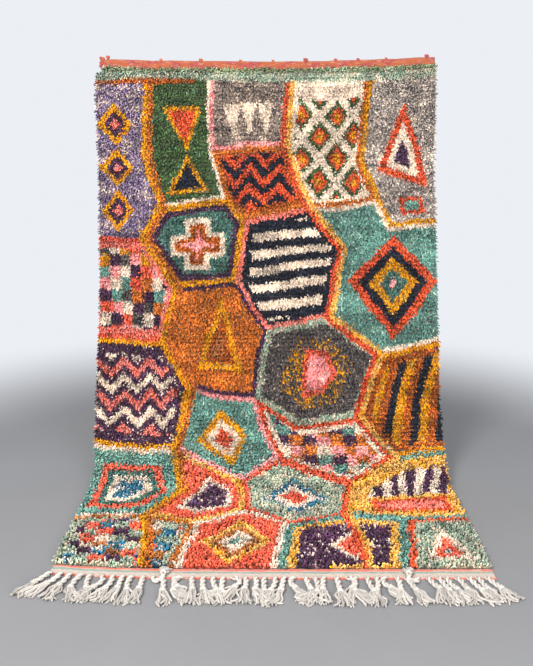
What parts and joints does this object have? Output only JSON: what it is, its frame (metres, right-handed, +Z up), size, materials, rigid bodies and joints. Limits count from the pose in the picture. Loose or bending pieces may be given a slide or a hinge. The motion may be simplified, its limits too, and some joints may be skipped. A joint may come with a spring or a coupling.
{
  "type": "beni ourain rug",
  "caption": "Thick hand-knotted wool pile rug with flat-woven ends and a knotted cotton fringe, hung by its head edge, bending at the floor and spread out over it.",
  "frame": {"origin": "middle of the bounding box at its bottom, on the floor under the rug", "axes": "+Z up, -Y towards the fringe and the viewer who faces the pile, +X to that viewer's right"},
  "size_m": [1.6224, 1.2426, 1.741],
  "materials": {
    "pile_wool": "matte knotted wool pile in many heather colours",
    "head_weave": "matte flat weave in orange and pink wool",
    "foot_cotton": "matte undyed twisted cotton, the woven strip with coral and teal stripes"
  },
  "bodies": {
    "root": {"pile_field": "pile_wool", "head_kilim": "head_weave", "foot_kilim_fringe": "foot_cotton"}
  },
  "joints": []
}
